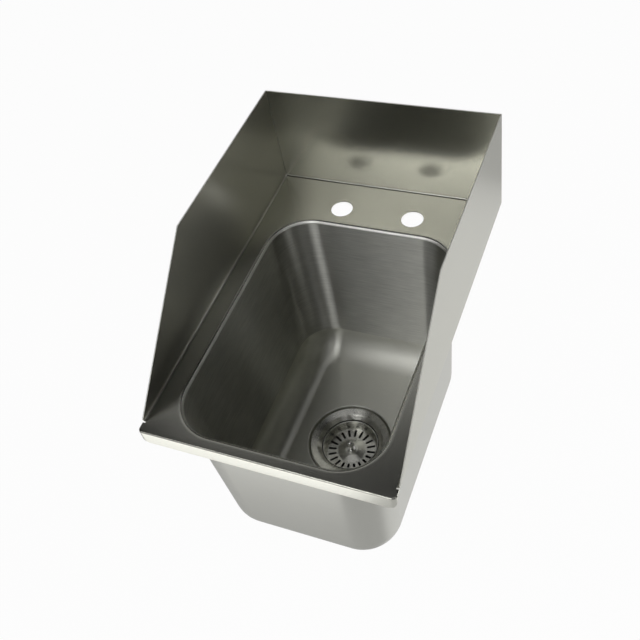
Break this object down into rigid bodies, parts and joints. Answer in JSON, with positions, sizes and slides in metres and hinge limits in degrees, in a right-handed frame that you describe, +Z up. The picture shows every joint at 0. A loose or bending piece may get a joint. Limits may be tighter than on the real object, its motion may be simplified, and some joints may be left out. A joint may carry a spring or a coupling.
{
  "type": "drop-in sink",
  "caption": "Stainless drop-in sink: deep coved bowl, faucet deck with front apron, backsplash and tapered side splashes, lift-out strainer basket, drain outlet and hold-down clips.",
  "frame": {"origin": "on the counter plane, at the deck's underside, on the shared axis of the bowl and its drain", "axes": "+X to the user's right, +Y to the backsplash, +Z up"},
  "size_m": [0.3174, 0.4572, 0.5646],
  "materials": {
    "sheet_steel": "satin brushed stainless sheet",
    "bowl_steel": "satin stainless, brushed round the walls",
    "drain_steel": "turned stainless, half bright",
    "post_steel": "bright turned metal",
    "black_rubber": "matt black rubber",
    "seal_putty": "soft grey sealing ring",
    "fibre_board": "brown fibre board",
    "cast_nut": "plain die-cast metal",
    "tail_steel": "bright thin tube",
    "clip_steel": "bright plated steel"
  },
  "bodies": {
    "sink": {"deck": "sheet_steel", "back_splash": "sheet_steel", "left_side_splash": "sheet_steel", "right_side_splash": "sheet_steel", "bowl": "bowl_steel", "drain_body": "drain_steel", "drain_outlet": "drain_steel", "drain_spider": "drain_steel", "flange_seal": "seal_putty", "drain_gasket": "black_rubber", "friction_ring": "fibre_board", "lock_nut": "cast_nut", "tailpiece_washer": "black_rubber", "tailpiece": "tail_steel", "coupling_nut": "cast_nut", "clip_studs": "clip_steel"},
    "lift_post": {"basket_post": "post_steel", "basket_stopper": "black_rubber", "stopper_nut": "post_steel"},
    "basket": {"strainer_basket": "drain_steel"},
    "left_front_washer": {"left_front_clip_washer": "clip_steel"},
    "left_front_nut": {"left_front_clip_nut": "clip_steel"},
    "left_front_bracket": {"left_front_clip_bracket": "clip_steel"},
    "left_rear_washer": {"left_rear_clip_washer": "clip_steel"},
    "left_rear_nut": {"left_rear_clip_nut": "clip_steel"},
    "left_rear_bracket": {"left_rear_clip_bracket": "clip_steel"},
    "right_front_washer": {"right_front_clip_washer": "clip_steel"},
    "right_front_nut": {"right_front_clip_nut": "clip_steel"},
    "right_front_bracket": {"right_front_clip_bracket": "clip_steel"},
    "right_rear_washer": {"right_rear_clip_washer": "clip_steel"},
    "right_rear_nut": {"right_rear_clip_nut": "clip_steel"},
    "right_rear_bracket": {"right_rear_clip_bracket": "clip_steel"}
  },
  "joints": [
    {"name": "basket_lift", "type": "slide", "parent": "sink", "child": "lift_post", "axis": [0, 0, 1], "range_m": [0, 0.08]},
    {"name": "basket_spin", "type": "hinge", "parent": "lift_post", "child": "basket", "pos_m": [0, 0, -0.2799], "axis": [0, 0, 1], "continuous": true},
    {"name": "left_front_clip_rise", "type": "slide", "parent": "sink", "child": "left_front_washer", "axis": [0, 0, 1], "range_m": [0, 0.022]},
    {"name": "left_front_nut_turn", "type": "hinge", "parent": "left_front_washer", "child": "left_front_nut", "pos_m": [-0.139, -0.1, -0.046], "axis": [0, 0, 1], "range_deg": [0, 7920]},
    {"name": "left_front_clip_swing", "type": "hinge", "parent": "left_front_washer", "child": "left_front_bracket", "pos_m": [-0.139, -0.1, -0.0448], "axis": [0, 0, -1], "range_deg": [0, 90]},
    {"name": "left_rear_clip_rise", "type": "slide", "parent": "sink", "child": "left_rear_washer", "axis": [0, 0, 1], "range_m": [0, 0.022]},
    {"name": "left_rear_nut_turn", "type": "hinge", "parent": "left_rear_washer", "child": "left_rear_nut", "pos_m": [-0.139, 0.1, -0.046], "axis": [0, 0, 1], "range_deg": [0, 7920]},
    {"name": "left_rear_clip_swing", "type": "hinge", "parent": "left_rear_washer", "child": "left_rear_bracket", "pos_m": [-0.139, 0.1, -0.0448], "axis": [0, 0, -1], "range_deg": [0, 90]},
    {"name": "right_front_clip_rise", "type": "slide", "parent": "sink", "child": "right_front_washer", "axis": [0, 0, 1], "range_m": [0, 0.022]},
    {"name": "right_front_nut_turn", "type": "hinge", "parent": "right_front_washer", "child": "right_front_nut", "pos_m": [0.139, -0.1, -0.046], "axis": [0, 0, 1], "range_deg": [0, 7920]},
    {"name": "right_front_clip_swing", "type": "hinge", "parent": "right_front_washer", "child": "right_front_bracket", "pos_m": [0.139, -0.1, -0.0448], "axis": [0, 0, 1], "range_deg": [0, 90]},
    {"name": "right_rear_clip_rise", "type": "slide", "parent": "sink", "child": "right_rear_washer", "axis": [0, 0, 1], "range_m": [0, 0.022]},
    {"name": "right_rear_nut_turn", "type": "hinge", "parent": "right_rear_washer", "child": "right_rear_nut", "pos_m": [0.139, 0.1, -0.046], "axis": [0, 0, 1], "range_deg": [0, 7920]},
    {"name": "right_rear_clip_swing", "type": "hinge", "parent": "right_rear_washer", "child": "right_rear_bracket", "pos_m": [0.139, 0.1, -0.0448], "axis": [0, 0, 1], "range_deg": [0, 90]}
  ],
  "couplings": [
    {"joint": "left_front_nut_turn", "follows": "left_front_clip_rise", "rad_per_m": 6283.2},
    {"joint": "left_rear_nut_turn", "follows": "left_rear_clip_rise", "rad_per_m": 6283.2},
    {"joint": "right_front_nut_turn", "follows": "right_front_clip_rise", "rad_per_m": 6283.2},
    {"joint": "right_rear_nut_turn", "follows": "right_rear_clip_rise", "rad_per_m": 6283.2}
  ]
}
